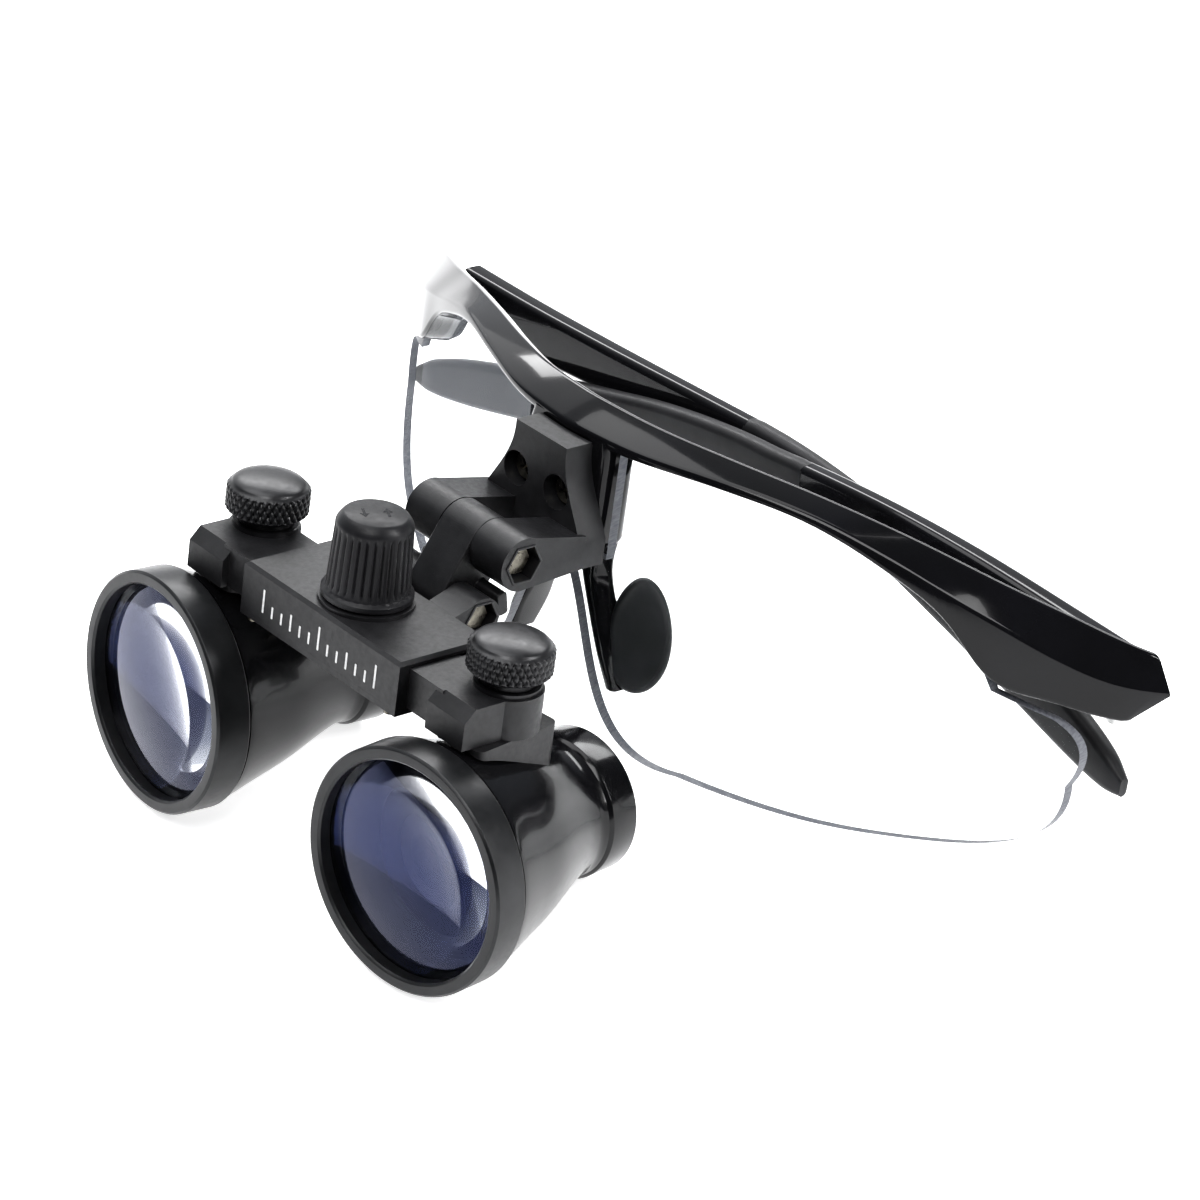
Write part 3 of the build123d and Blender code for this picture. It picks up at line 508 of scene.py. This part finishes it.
# Along the brow from the middle: x, then y of the top crease, heading in degrees, the
# crease's height, the depth and height of the middle crease, and of the lower edge
BROW = [
    (0.0, 41.2, 0, 20.8, -5.0, 18.2, -4.6, 16.6),
    (10.5, 42.5, 13, 20.5, -4.6, 18.2, -4.4, 17.0),
    (21.0, 46.2, 23, 19.7, -3.8, 18.1, -4.0, 17.0),
    (31.5, 51.2, 27, 18.4, -3.4, 17.0, -3.8, 15.8),
    (42.0, 56.7, 28, 16.4, -3.4, 13.8, -3.8, 11.8),
    (48.0, 60.0, 29, 14.9, -3.5, 11.5, -3.8, 8.2),
    (53.5, 63.0, 32, 13.5, -3.6, 9.6, -3.8, 1.9),
    (60.0, 67.2, 38, 11.7, -3.6, 6.9, -3.4, 0.9),
    (65.6, 71.2, 46, 9.9, -3.1, 5.0, -2.6, -0.1),
    (70.0, 75.4, 58, 8.4, -1.85, 4.2, -1.4, -0.4),
    (71.3, 77.8, 64, 8.0, -1.7, 4.0, -1.2, -0.5),
]
brow_back = 1.8             # the back of the brow behind its top crease
brow_end = 64.0             # the last full section, before the endcaps are cut off slantwise
brow_steps = 60
smoothing_step = 0.5
smoothing_passes = 14
endcap_back = 75.25         # depth of the end face at its ridge
endcap_ridge = 2.5          # height of that ridge
slope_above, slope_below = 0.11, 1.6
endcap_reach = 7.2          # how far past brow_end the end face is looked for
endcap_steps = 62
end_rounding = 0.5


def smoothed_brow():
    """The brow's table in even steps, averaged until its curvature runs on evenly."""
    places = [smoothing_step * k for k in range(int(BROW[-1][0] / smoothing_step) + 1)]
    rows = [list(through(BROW, place)) for place in places]
    for sweep in range(smoothing_passes):
        mirrored = [[rows[1][0], -rows[1][1], *rows[1][2:]]] + rows + [rows[-1]]
        eased = [[(a + 2 * b + c) / 4 for a, b, c in zip(*mirrored[k:k + 3])] for k in range(len(rows))]
        eased[-1] = rows[-1]
        rows = eased
    return [(place, *row) for place, row in zip(places, rows)]


BROW_FINE = smoothed_brow()


def brow_ring(x):
    """Section of the brow, square to its heading."""
    side = 1 if x >= 0 else -1
    y, heading, top, mid_depth, mid, low_depth, low = through(BROW_FINE, abs(x))
    turn = radians(side * heading)
    section = rounded([
        (0, top, 0.7), (mid_depth, mid, 1.1), (low_depth, low, 0.6), (0.2, low - 0.2, 0.3),
        (brow_back, low + 0.6, 0.5), (brow_back, top - 1.3, 0.6),
    ])
    return [(x - sin(turn) * d, y + cos(turn) * d, z) for d, z in section]


def past_endcap(point):
    """How far a point lies behind the endcap's end face, which is drawn in about its ridge."""
    rise = point[2] - endcap_ridge
    return point[1] - endcap_back + (slope_above * rise if rise > 0 else -slope_below * rise)


def endcap_rings(side):
    """Sections from the last full one to the end face, each line of the skin stopping on it."""
    tries = [brow_ring(side * (brow_end + endcap_reach * k / endcap_steps)) for k in range(endcap_steps + 1)]
    ends = []
    for line in range(len(tries[0])):
        hits = [k for k in range(1, endcap_steps + 1) if past_endcap(tries[k][line]) >= 0]
        stop = hits[0] if hits else endcap_steps
        near, far = past_endcap(tries[stop - 1][line]), past_endcap(tries[stop][line])
        ends.append(stop - 1 + min(max(-near / (far - near), 0), 1))
    rings = []
    for share in (0.2, 0.4, 0.6, 0.8, 1.0):
        ring = []
        for line, end in enumerate(ends):
            place = end * share
            low = min(int(place), endcap_steps - 1)
            before, after = Vector(tries[low][line]), Vector(tries[low + 1][line])
            ring.append(tuple(before.lerp(after, place - low)))
        rings.append(ring)
    # The end face is rounded off into the sides
    face, before = [Vector(point) for point in rings.pop()], [Vector(point) for point in rings[-1]]
    centre = sum(face, Vector()) / len(face)
    for angle in (0, 30, 60, 90):
        back = end_rounding * (1 - sin(radians(angle)))
        inset = end_rounding * (1 - cos(radians(angle)))
        rings.append([
            tuple(here + (there - here).normalized() * back + (centre - here).normalized() * inset)
            for here, there in zip(face, before)
        ])
    return rings


# The bridge block's outline as (x, y, corner radius), and its sections as (z, inset)
block_half = 7.4
BLOCK = [(block_half, 36.9, 1.0), (block_half, 42.6, 1.5), (-block_half, 42.6, 1.5), (-block_half, 36.9, 1.0)]
BLOCK_SECTIONS = ((2.7, 1.2), (3.0, 0.5), (3.9, 0.0), (16.0, 0.0), (17.7, 0.4))

# Up a nose arm from its tip: height, x and y of its middle, width and depth
NOSE_ARM = [
    (-16.2, 9.9, 42.5, 1.8, 4.0),
    (-11.6, 8.3, 42.2, 2.2, 5.0),
    (-6.0, 5.7, 41.5, 2.3, 3.8),
    (-1.5, 3.9, 41.5, 2.6, 3.8),
    (4.0, 3.6, 41.4, 5.0, 3.6),
]
nose_arm_steps = 24
nose_arm_rounding = 0.7


def box_outline(width, depth, radius):
    """Rounded oblong about the origin."""
    across, along = width / 2, depth / 2
    return rounded([(across, along, radius), (-across, along, radius),
                    (-across, -along, radius), (across, -along, radius)])


def make_frame():
    """Brow with its endcaps, bridge block and nose arms: one glossy moulding."""
    rings = []
    for step in range(-brow_steps, brow_steps + 1):
        rings.append(brow_ring(brow_end * sin(step / brow_steps * pi / 2)))
    rings = endcap_rings(-1)[::-1] + rings + endcap_rings(1)
    settle(lofted("brow_bar", rings), "specs", "gloss_frame", ["frame_front"])

    rings = []
    for z, inset in BLOCK_SECTIONS:
        outline = rounded([(x * (1 - inset / block_half), y, r) for x, y, r in BLOCK])
        rings.append([(x, y, z) for x, y in outline])
    settle(lofted("bridge_block", rings), "specs", "gloss_frame")

    low, high = NOSE_ARM[0][0], NOSE_ARM[-1][0]
    for name, side in SIDES.items():
        rings = []
        for step in range(nose_arm_steps + 1):
            z = high - (high - low) * step / nose_arm_steps
            x, y, width, depth = through(NOSE_ARM, z)
            outline = box_outline(width, depth, nose_arm_rounding)
            rings.append([(side * (x + a), y + b, z) for a, b in outline])
        settle(lofted(f"nose_arm_{name}", rings, 50), "specs", "gloss_frame")


def make_lens(name):
    """Clear lens: the CAD shape with its milled rim told apart from its two faces."""
    work = bmesh.new()
    work.from_mesh(frame["nodes"][f"lens_{name}"].data)
    bmesh.ops.remove_doubles(work, verts=work.verts, dist=2e-6)
    mesh = bpy.data.meshes.new(f"clear_lens_{name}")
    work.to_mesh(mesh)
    work.free()
    piece = link_mesh(f"clear_lens_{name}", mesh, 40)
    settle(piece, "specs", "clear_lens", [f"lens_{name}"])
    piece.data.materials.append(FINISH["lens_rim"])
    inverse = MODEL.inverted()
    turn = inverse.to_3x3().normalized()
    face_on = 0.75              # cosine under which a face belongs to the rim
    for face in piece.data.polygons:
        place = inverse @ face.center
        heading = radians(SIDES[name] * through(BROW, abs(place.x))[1])
        outwards = Vector((sin(heading), -cos(heading), 0))
        if abs((turn @ face.normal).dot(outwards)) < face_on:
            face.material_index = 1


pad_half_width, pad_half_length = 4.2, 7.4
pad_taper = 0.12            # how much narrower a pad is at its top, and wider at its bottom
# Through a pad's thickness: depth, and size of the section there
PAD_SECTIONS = ((-1.1, 0.72), (-1.02, 0.86), (-0.75, 0.96), (-0.3, 1.0),
                (0.3, 1.0), (0.75, 0.96), (1.02, 0.86), (1.1, 0.72))


def make_nose_pad(name, side):
    """Soft oval pad that faces the side of the nose."""
    centre = Vector((side * 9.9, 44.7, -9.4))
    normal = Vector((side * 0.75, -0.5625, 0.35)).normalized()
    long_axis = (Vector((0, 0, 1)) - normal * normal.z).normalized()
    wide_axis = long_axis.cross(normal)
    rings = []
    steps = 48
    for depth, shrink in PAD_SECTIONS:
        ring = []
        for step in range(steps):
            angle = 2 * pi * step / steps
            wide, long = pad_half_width * cos(angle), pad_half_length * sin(angle)
            wide *= 1 - pad_taper * sin(angle)
            ring.append(centre + wide_axis * wide * shrink + long_axis * long * shrink + normal * depth)
        rings.append(ring)
    settle(lofted(f"nose_pad_soft_{name}", rings, 60), "specs", "pad_rubber", [f"nose_pad_{name}"])


# ---------------------------------------------------------------- temples

hinge_x, hinge_y = 66.0, 73.0
temple_slant = tan(radians(1.7))
temple_y = 75.2             # depth of a folded temple's middle line at its hinge
# Along a temple from its hinge: middle height, height, thickness
ARM = [(2.5, 3.1, 7.4, 3.8), (15.0, 3.2, 7.2, 3.6), (30.0, 3.65, 6.7, 3.3), (45.0, 3.95, 6.4, 3.0),
       (60.0, 4.0, 6.2, 2.8)]
SOCK = [(58.5, 4.0, 6.3, 2.9), (60.0, 4.0, 6.6, 3.05), (72.0, 3.2, 6.8, 3.0), (85.0, 1.1, 7.1, 3.0),
        (97.0, -1.8, 7.2, 3.1), (110.0, -5.0, 7.2, 3.2), (122.0, -8.1, 6.8, 3.0), (130.0, -10.3, 5.0, 2.6),
        (133.0, -11.2, 2.6, 1.4)]
temple_length = SOCK[-1][0]
sock_start = SOCK[0][0]
# The two temples don't lie quite alike: inward bend of the tip, rise of the arm, lift of the tip
temple_bend = {1: 0.6, -1: 4.0}
temple_rise = {1: 1.3, -1: -0.5}
tip_lift = {1: 1.2, -1: 0.0}
bend_start = 78.0
arch_start, arch_span = ARM[0][0], 62.0
lift_start = 62.0
# The groove in a temple's outer face: depth, its two ends along the temple, and its run-out
groove_depth = 0.75
groove_start, groove_end = 10.0, 52.0
groove_fade = 2.5
hinge_floor, hinge_top = 1.75, 5.0
knuckle_radius = 2.1


def temple_middle(side, along):
    """Depth of a folded temple's middle line."""
    bend = temple_bend[side] * (max(along - bend_start, 0) / (temple_length - bend_start)) ** 2
    return temple_y - side * temple_slant * along - bend


def temple_height(side, along, middle):
    """Middle height of a temple: the arm arches a little, and the tips droop unequally."""
    arch = temple_rise[side] * sin(pi * min(max(along - arch_start, 0) / arch_span, 1))
    lift = tip_lift[side] * max(along - lift_start, 0) / (temple_length - lift_start)
    return middle + arch + lift


def temple_ring(side, along, middle, height, thickness, groove=0.0):
    """Section across a temple, with a groove of a given depth in its outer face."""
    high, thick = height / 2, thickness / 2
    outline = rounded([
        (-thick, high, 1.0), (thick, high, 1.0),
        (thick, 1.6, 0.0), (thick - groove, 1.1, 0.0), (thick - groove, -0.5, 0.0), (thick, -1.0, 0.0),
        (thick, -high, 1.0), (-thick, -high, 1.0),
    ])
    depth = temple_middle(side, along)
    middle = temple_height(side, along, middle)
    return [(side * (hinge_x - along), depth + d, middle + z) for d, z in outline]


def make_temple(name, side):
    """Glossy arm with its hinge end, and the rubber sock over its rear half."""
    arm_steps = 59
    start, end = ARM[0][0], ARM[-1][0]
    rings = []
    for step in range(arm_steps + 1):
        along = start + (end - start) * step / arm_steps
        inside = min(along - groove_start, groove_end - along) / groove_fade
        groove = groove_depth * min(max(inside, 0), 1)
        rings.append(temple_ring(side, along, *through(ARM, along), groove))
    body = f"temple_{name}"
    settle(lofted(f"temple_gloss_{name}", rings), body, "gloss_frame", [f"temple_arm_{name}"])

    facets = 40
    turns = [2 * pi * k / facets for k in range(facets)]
    knuckle = [(knuckle_radius * cos(turn), knuckle_radius * sin(turn)) for turn in turns]
    rings = [[(side * hinge_x + x, hinge_y + y, z) for x, y in knuckle] for z in (hinge_floor, hinge_top)]
    settle(lofted(f"hinge_knuckle_{name}", rings), body, "gloss_frame")
    tang = ((0, -0.6), (3.4, 0.8), (3.4, 2.4), (0, 2.05))
    rings = [[(side * (hinge_x - x), hinge_y + y, z) for x, y in tang] for z in (hinge_floor, hinge_top)]
    settle(lofted(f"hinge_tang_{name}", rings), body, "gloss_frame")

    sock_steps = 71
    sock_rounding = 1.2
    rings = []
    for step in range(sock_steps + 1):
        along = sock_start + (temple_length - sock_start) * sin(step / sock_steps * pi / 2)
        middle, height, thickness = through(SOCK, along)
        high, thick = height / 2, thickness / 2
        corners = ((-thick, high), (thick, high), (thick, -high), (-thick, -high))
        outline = rounded([(*corner, sock_rounding) for corner in corners])
        depth = temple_middle(side, along)
        middle = temple_height(side, along, middle)
        rings.append([(side * (hinge_x - along), depth + d, middle + z) for d, z in outline])
    settle(lofted(f"ear_sock_soft_{name}", rings, 60), body, "sock_rubber", [f"ear_sock_{name}"])


# ---------------------------------------------------------------- head: thumbscrews and knob

swivel_y = 9.76
barrel_x = 24.0


def knurled(name, place, profile, pattern, steps):
    """Revolve a (radius, z, cut) profile about z, each row cut into by its share of a pattern."""
    x0, y0 = place
    rings = []
    for radius, z, cut in profile:
        ring = []
        for step in range(steps):
            angle = 2 * pi * step / steps
            r = radius - cut * pattern(angle, z)
            ring.append((x0 + r * cos(angle), y0 + r * sin(angle), z))
        rings.append(ring)
    return lofted(name, rings, 40)


def make_thumbscrew(name, side):
    """Clamping screw with a diamond-knurled head and a domed top, on its plain shank."""
    teeth = 34

    def diamonds(angle, z):
        twist = (z - 1.5) * 1.15
        one = abs(sin((angle * teeth + twist * pi) / 2))
        other = abs(sin((angle * teeth - twist * pi) / 2))
        return (1 - one) ** 1.5 + (1 - other) ** 1.5

    profile = [(1.5, -8.8, 0), (1.5, -0.36, 0), (3.45, -0.36, 0), (3.6, -0.2, 0), (3.6, 0.85, 0),
               (3.7, 1.0, 0), (4.7, 1.0, 0), (5.0, 1.12, 0), (5.2, 1.3, 0)]
    band = 24
    profile += [(5.38, 1.45 + 2.8 * k / band, 0.26) for k in range(band + 1)]
    profile += [(5.2, 4.42, 0), (5.0, 4.6, 0), (4.8, 4.7, 0)]
    dome = 10
    short_of_axis = 0.995       # so that the dome closes on a small ring, not on one point
    for k in range(1, dome + 1):
        angle = k / dome * pi / 2
        profile.append((4.75 * cos(angle * short_of_axis), 4.75 + 1.1 * sin(angle), 0))
    place = (side * barrel_x, swivel_y)
    piece = knurled(f"thumbscrew_knurled_{name}", place, profile, diamonds, teeth * 10)
    settle(piece, f"thumb_{name}", "black_metal", [f"thumbscrew_{name}"])


def make_knob():
    """Fluted, slightly tapered knob with two arrows on its top."""
    flutes = 30
    knob_top, knob_base = 11.86, 0.75

    def scallops(angle, z):
        return max(0.0, cos(angle * flutes)) ** 1.6

    profile = [(1.2, -5.7, 0), (1.2, -1.2, 0), (1.8, -1.2, 0), (1.8, knob_base, 0), (5.6, knob_base, 0),
               (5.8, 0.95, 0), (5.8, 1.55, 0), (5.65, 1.72, 0), (5.35, 1.9, 0), (5.3, 2.1, 0.05)]
    rows = 22
    for k in range(rows + 1):
        z = 2.2 + 8.1 * k / rows
        fade = min(1.0, k / 2, (rows - k) / 2)
        profile.append((5.28 - 0.4 * k / rows, z, 0.3 * fade))
    profile += [(4.86, 10.5, 0), (4.8, 10.75, 0), (4.6, 11.1, 0), (4.3, 11.5, 0), (4.05, 11.75, 0),
                (3.85, knob_top, 0)]
    piece = knurled("spread_knob_fluted", (0, knob_depth), profile, scallops, flutes * 10)
    settle(piece, "knob", "knob_plastic", ["pd_knob"])
    # Two arrows raised a hair's breadth, in gloss that reads as sunk print
    turn = radians(62)
    arrow_offset = 1.5
    arrow_outline = ((-0.17, -1.1), (0.17, -1.1), (0.17, 0.2), (0.6, 0.2),
                     (0, 1.2), (-0.6, 0.2), (-0.17, 0.2))
    for name, side in SIDES.items():
        outline = []
        for across, along in arrow_outline:
            x, y = side * (arrow_offset + across), side * along
            outline.append((x * cos(turn) - y * sin(turn), knob_depth + x * sin(turn) + y * cos(turn)))
        rings = [[(a, b, z) for a, b in outline] for z in (knob_top - 0.2, knob_top + 0.03)]
        arrow = lofted(f"knob_arrow_{name}", rings)
        settle(arrow, "knob", "gloss_barrel")


# ---------------------------------------------------------------- barrels

barrel_z = -22.06
outward = {1: 7.05, -1: 4.4}    # degrees that each barrel turns outwards from straight ahead
flare_start, flare_end = 10.05, -12.2
# Outside of a barrel from the seam behind the bezel, down its long flare: distance along, radius
FLARE = [(flare_start, 15.44), (9.2, 15.25), (5.0, 14.0), (-0.8, 12.3), (-8.4, 9.5), (-11.0, 8.9),
         (flare_end, 9.05)]
flare_steps = 40
# The barrel's skin counts as its black lining inside these radii, the wider one in the cone only
eyepiece_bore = 8.35
widest_bore = 13.2
cone_start = -8.4
thinnest_wall = 0.6


def dome(radius, apex, sag, count=18):
    """Half profile of a lens face from its apex, sagging back where sag is positive."""
    curve = (radius ** 2 + sag ** 2) / (2 * abs(sag))
    sign = 1 if sag > 0 else -1
    values = []
    for k in range(count + 1):
        r = radius * k / count
        values.append((r, apex - sign * (curve - sqrt(curve ** 2 - r ** 2))))
    return values


def make_barrel(name, side):
    """Bezel, lacquered barrel with its black lining, doublet and eyepiece lens."""
    angle = radians(side * outward[side])
    forwards = Vector((sin(angle), -cos(angle), 0))
    sideways = Vector((cos(angle), sin(angle), 0))
    pivot = Vector((side * barrel_x, swivel_y, barrel_z))
    body = f"barrel_{name}"

    def spin(label, profile, **options):
        return turned(f"{label}_{name}", profile, pivot, forwards, sideways, **options)

    bezel = rounded([
        (14.35, 10.1, 0.0), (15.55, 10.1, 0.12), (15.75, 10.3, 0.12), (15.75, 14.7, 0.12),
        (15.45, 15.0, 0.12), (14.3, 15.0, 0.08), (14.0, 14.7, 0.08), (14.0, 13.1, 0.0), (14.35, 13.1, 0.0),
    ], steps=5)
    ring = spin("bezel_turned", bezel, steps=160)
    settle(ring, body, "satin_bezel", [f"front_bezel_{name}"])

    # Outside: from the seam behind the bezel, down the long flare and into the eyepiece
    flare = FLARE[::-1]
    outside = [(15.0, flare_start), (15.0, 9.85), (15.38, 9.8)]
    for step in range(1, flare_steps + 1):
        along = flare_start - (flare_start - flare_end) * step / flare_steps
        outside.append((through(flare, along)[0], along))
    shell = outside + rounded([
        (9.1, -12.25, 0.0), (9.4, -12.7, 0.25), (9.4, -17.0, 0.3), (8.3, -17.0, 0.15), (8.3, -14.2, 0.0),
        (7.5, -14.2, 0.0), (7.5, -11.0, 0.0), (8.4, -8.4, 0.0), (13.0, 8.9, 0.0), (14.35, 8.9, 0.0),
        (14.35, flare_start, 0.0),
    ], closed=False)
    tube = spin("barrel_lacquered", shell, steps=160, smooth_limit=24)
    settle(tube, body, "gloss_barrel", [f"barrel_shell_{name}"])
    tube.data.materials.append(FINISH["lining"])
    inverse = MODEL.inverted()
    for face in tube.data.polygons:
        place = inverse @ face.center - pivot
        along = place.dot(forwards)
        radius = (place - forwards * along).length
        in_cone = cone_start < along and radius < min(widest_bore, through(flare, along)[0] - thinnest_wall)
        face.material_index = int(radius < eyepiece_bore or in_cone)

    # The two cemented elements are one block of glass to the eye
    doublet = dome(14.3, 14.9, 2.0) + dome(14.3, 7.5, -1.7)[::-1]
    settle(spin("objective_doublet", doublet, closed=False, smooth_limit=40), body, "coated_glass",
           [f"objective_crown_{name}", f"objective_flint_{name}"])
    eye = dome(8.3, -15.0, -0.8) + dome(8.3, -15.7, 0.5)[::-1]
    settle(spin("eyepiece_glass", eye, closed=False, smooth_limit=40), body, "flint_glass",
           [f"eyepiece_lens_{name}"])


# ---------------------------------------------------------------- the rest of the head

def make_head():
    """Moulded and machined pieces whose CAD shape only needs its edges rounded."""
    softened_parts = {
        "mount_bracket": ("specs", "matte_black", 0.1),
        "flip_link": ("link", "matte_black", 0.2),
        "beam_housing": ("beam", "matte_black", 0.14),
        "beam_cover": ("beam", "matte_black", 0.1),
    }
    for name in SIDES:
        softened_parts[f"slide_arm_{name}"] = (f"slide_{name}", "matte_black", 0.14)
        softened_parts[f"swivel_foot_{name}"] = (f"barrel_{name}", "matte_black", 0.14)
    for node, (body, finish, width) in softened_parts.items():
        settle(softened(f"{node}_rounded", node, width), body, finish, [node])


def make_scale():
    """White spacing scale printed on the beam's front face."""
    ticks, pitch, low, half_width = 13, 1.85, -5.35, 0.17
    for count in range(ticks):
        x = (count - (ticks - 1) / 2) * pitch
        tall = 3.2 if count % 6 == 0 else (2.3 if count % 3 == 0 else 1.6)
        left, right, top = x - half_width, x + half_width, low + tall
        edge = rounded([(left, low, 0.1), (right, low, 0.1), (right, top, 0.1), (left, top, 0.1)], steps=2)
        rings = [[(a, depth, z) for a, z in edge] for depth in (0.05, -0.02)]
        settle(lofted(f"scale_tick_{count + 1}", rings), "beam", "print")


# The lip round each pivot's nut pocket: body, place, and inner radius at its corners
HEX_RIMS = {
    "flip": ("specs", (9.46, 23.6, 5.27), 2.56),
    "tilt": ("beam", (8.4, 18.7, -1.7), 2.36),
}
rim_width, rim_height, rim_root = 0.34, 0.16, -0.3


def make_hex_rims():
    """Raised six-sided lips round the nut pockets of both pivots."""
    for name, (body, (x, y, z), inner) in HEX_RIMS.items():
        outer = inner + rim_width
        profile = rounded([(inner, rim_root, 0.0), (outer, rim_root, 0.0),
                           (outer, rim_height, 0.08), (inner, rim_height, 0.08)], steps=2)
        size = len(profile)
        points, faces = [], []
        for corner in range(6):
            angle = corner * pi / 3
            points += [(x + out, y + r * cos(angle), z + r * sin(angle)) for r, out in profile]
        for corner in range(6):
            here, there = corner * size, (corner + 1) % 6 * size
            for k in range(size):
                after = (k + 1) % size
                faces.append((here + k, here + after, there + after, there + k))
        settle(make(f"{name}_hex_rim", points, faces), body, "matte_black")


def dress_nodes():
    """The CAD nodes that stay get the finish of their material slot."""
    for part in frame["record"]["subparts"]:
        node = frame["nodes"][part["node"]]
        finish = FINISH[part["material_slot"]]
        node.data.materials.clear()
        node.data.materials.append(finish)


def make_floor():
    """Wide pale floor that the part lies on."""
    mesh = bpy.data.meshes.new("floor")
    half = 6.0
    corners = [(-half, -half, 0), (half, -half, 0), (half, half, 0), (-half, half, 0)]
    mesh.from_pydata(corners, [], [(0, 1, 2, 3)])
    floor = bpy.data.objects.new("floor", mesh)
    floor.data.materials.append(FINISH["floor"])
    scene.collection.objects.link(floor)


place_camera()
light_studio()
make_floor()
dress_nodes()
make_frame()
for name, side in SIDES.items():
    make_lens(name)
    make_nose_pad(name, side)
    make_temple(name, side)
    make_thumbscrew(name, side)
    make_barrel(name, side)
make_knob()
make_head()
make_scale()
make_hex_rims()
